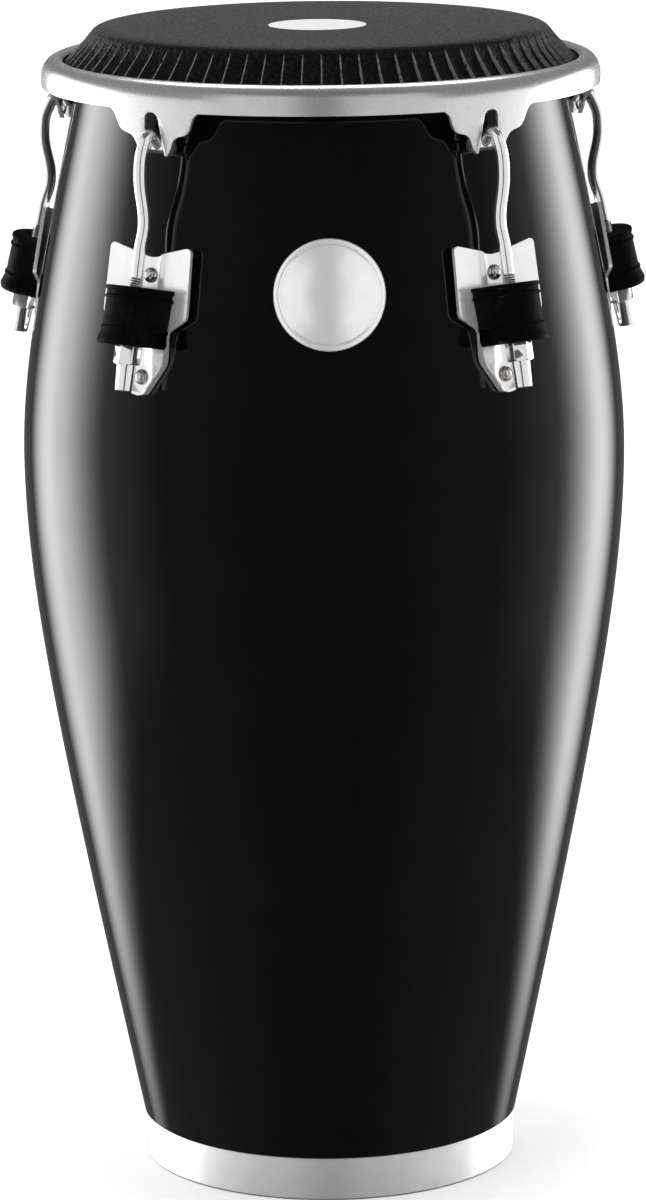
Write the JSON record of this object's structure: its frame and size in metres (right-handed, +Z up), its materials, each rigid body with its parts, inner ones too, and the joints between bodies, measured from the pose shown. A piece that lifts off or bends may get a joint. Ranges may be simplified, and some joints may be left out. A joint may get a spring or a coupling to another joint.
{
  "type": "conga",
  "caption": "Tall barrel-shaped hand drum with a gloss black shell, a dark pleated head, a chrome rim with slotted ears, and side plates with rubber-covered tuning lugs.",
  "frame": {"origin": "on the drum's axis, on the surface that the foot stands on", "axes": "+Z up along the drum's axis; the front, with the badge, faces -Y; +X is to the right of a viewer in front"},
  "size_m": [0.4308, 0.4234, 0.76],
  "materials": {
    "black_lacquer": "polished lacquer on fibreglass",
    "chrome": "polished",
    "satin_metal": "satin",
    "zinc_steel": "dull zinc plate",
    "black_rubber": "matt",
    "head_skin": "fine grained, matt"
  },
  "bodies": {
    "drum": {"shell": "black_lacquer", "base_ring": "satin_metal", "foot_ring": "black_rubber", "head_skin": "head_skin", "flesh_hoop": "zinc_steel", "badge": "chrome", "side_plate_1": "chrome", "side_plate_2": "chrome", "side_plate_3": "chrome", "side_plate_4": "chrome", "side_plate_5": "chrome", "bracket_cover_1": "black_rubber", "bracket_cover_2": "black_rubber", "bracket_cover_3": "black_rubber", "bracket_cover_4": "black_rubber", "bracket_cover_5": "black_rubber", "lug_washer_1": "zinc_steel", "lug_washer_2": "zinc_steel", "lug_washer_3": "zinc_steel", "lug_washer_4": "zinc_steel", "lug_washer_5": "zinc_steel", "backing_plate_1": "zinc_steel", "backing_plate_2": "zinc_steel", "backing_plate_3": "zinc_steel", "backing_plate_4": "zinc_steel", "backing_plate_5": "zinc_steel", "plate_bolt_top_1": "zinc_steel", "plate_bolt_top_2": "zinc_steel", "plate_bolt_top_3": "zinc_steel", "plate_bolt_top_4": "zinc_steel", "plate_bolt_top_5": "zinc_steel", "plate_bolt_bottom_1": "zinc_steel", "plate_bolt_bottom_2": "zinc_steel", "plate_bolt_bottom_3": "zinc_steel", "plate_bolt_bottom_4": "zinc_steel", "plate_bolt_bottom_5": "zinc_steel", "flange_nut_top_1": "zinc_steel", "flange_nut_top_2": "zinc_steel", "flange_nut_top_3": "zinc_steel", "flange_nut_top_4": "zinc_steel", "flange_nut_top_5": "zinc_steel", "flange_nut_bottom_1": "zinc_steel", "flange_nut_bottom_2": "zinc_steel", "flange_nut_bottom_3": "zinc_steel", "flange_nut_bottom_4": "zinc_steel", "flange_nut_bottom_5": "zinc_steel"},
    "rim": {"rim": "chrome"},
    "lug_1": {"tuning_lug_1": "chrome"},
    "lug_2": {"tuning_lug_2": "chrome"},
    "lug_3": {"tuning_lug_3": "chrome"},
    "lug_4": {"tuning_lug_4": "chrome"},
    "lug_5": {"tuning_lug_5": "chrome"},
    "nut_1": {"lug_nut_1": "chrome"},
    "nut_2": {"lug_nut_2": "chrome"},
    "nut_3": {"lug_nut_3": "chrome"},
    "nut_4": {"lug_nut_4": "chrome"},
    "nut_5": {"lug_nut_5": "chrome"}
  },
  "joints": [
    {"name": "rim_slide", "type": "slide", "parent": "drum", "child": "rim", "axis": [0, 0, 1], "range_m": [0, 0.012]},
    {"name": "lug_slide_1", "type": "slide", "parent": "drum", "child": "lug_1", "axis": [-0.1272, 0.1751, 0.9763], "range_m": [0, 0.0123]},
    {"name": "lug_slide_2", "type": "slide", "parent": "drum", "child": "lug_2", "axis": [-0.2058, -0.0669, 0.9763], "range_m": [0, 0.0123]},
    {"name": "lug_slide_3", "type": "slide", "parent": "drum", "child": "lug_3", "axis": [0, -0.2164, 0.9763], "range_m": [0, 0.0123]},
    {"name": "lug_slide_4", "type": "slide", "parent": "drum", "child": "lug_4", "axis": [0.2058, -0.0669, 0.9763], "range_m": [0, 0.0123]},
    {"name": "lug_slide_5", "type": "slide", "parent": "drum", "child": "lug_5", "axis": [0.1272, 0.1751, 0.9763], "range_m": [0, 0.0123]},
    {"name": "nut_turn_1", "type": "hinge", "parent": "drum", "child": "nut_1", "pos_m": [0.1205, -0.16585, 0.592], "axis": [-0.1272, 0.1751, 0.9763], "continuous": true},
    {"name": "nut_turn_2", "type": "hinge", "parent": "drum", "child": "nut_2", "pos_m": [0.19497, 0.06335, 0.592], "axis": [-0.2058, -0.0669, 0.9763], "continuous": true},
    {"name": "nut_turn_3", "type": "hinge", "parent": "drum", "child": "nut_3", "pos_m": [0, 0.205, 0.592], "axis": [0, -0.2164, 0.9763], "continuous": true},
    {"name": "nut_turn_4", "type": "hinge", "parent": "drum", "child": "nut_4", "pos_m": [-0.19497, 0.06335, 0.592], "axis": [0.2058, -0.0669, 0.9763], "continuous": true},
    {"name": "nut_turn_5", "type": "hinge", "parent": "drum", "child": "nut_5", "pos_m": [-0.1205, -0.16585, 0.592], "axis": [0.1272, 0.1751, 0.9763], "continuous": true}
  ],
  "couplings": [
    {"joint": "lug_slide_1", "follows": "rim_slide", "ratio": 1.0243},
    {"joint": "lug_slide_2", "follows": "rim_slide", "ratio": 1.0243},
    {"joint": "lug_slide_3", "follows": "rim_slide", "ratio": 1.0243},
    {"joint": "lug_slide_4", "follows": "rim_slide", "ratio": 1.0243},
    {"joint": "lug_slide_5", "follows": "rim_slide", "ratio": 1.0243},
    {"joint": "nut_turn_1", "follows": "rim_slide", "rad_per_m": -4561.1},
    {"joint": "nut_turn_2", "follows": "rim_slide", "rad_per_m": -4561.1},
    {"joint": "nut_turn_3", "follows": "rim_slide", "rad_per_m": -4561.1},
    {"joint": "nut_turn_4", "follows": "rim_slide", "rad_per_m": -4561.1},
    {"joint": "nut_turn_5", "follows": "rim_slide", "rad_per_m": -4561.1}
  ]
}
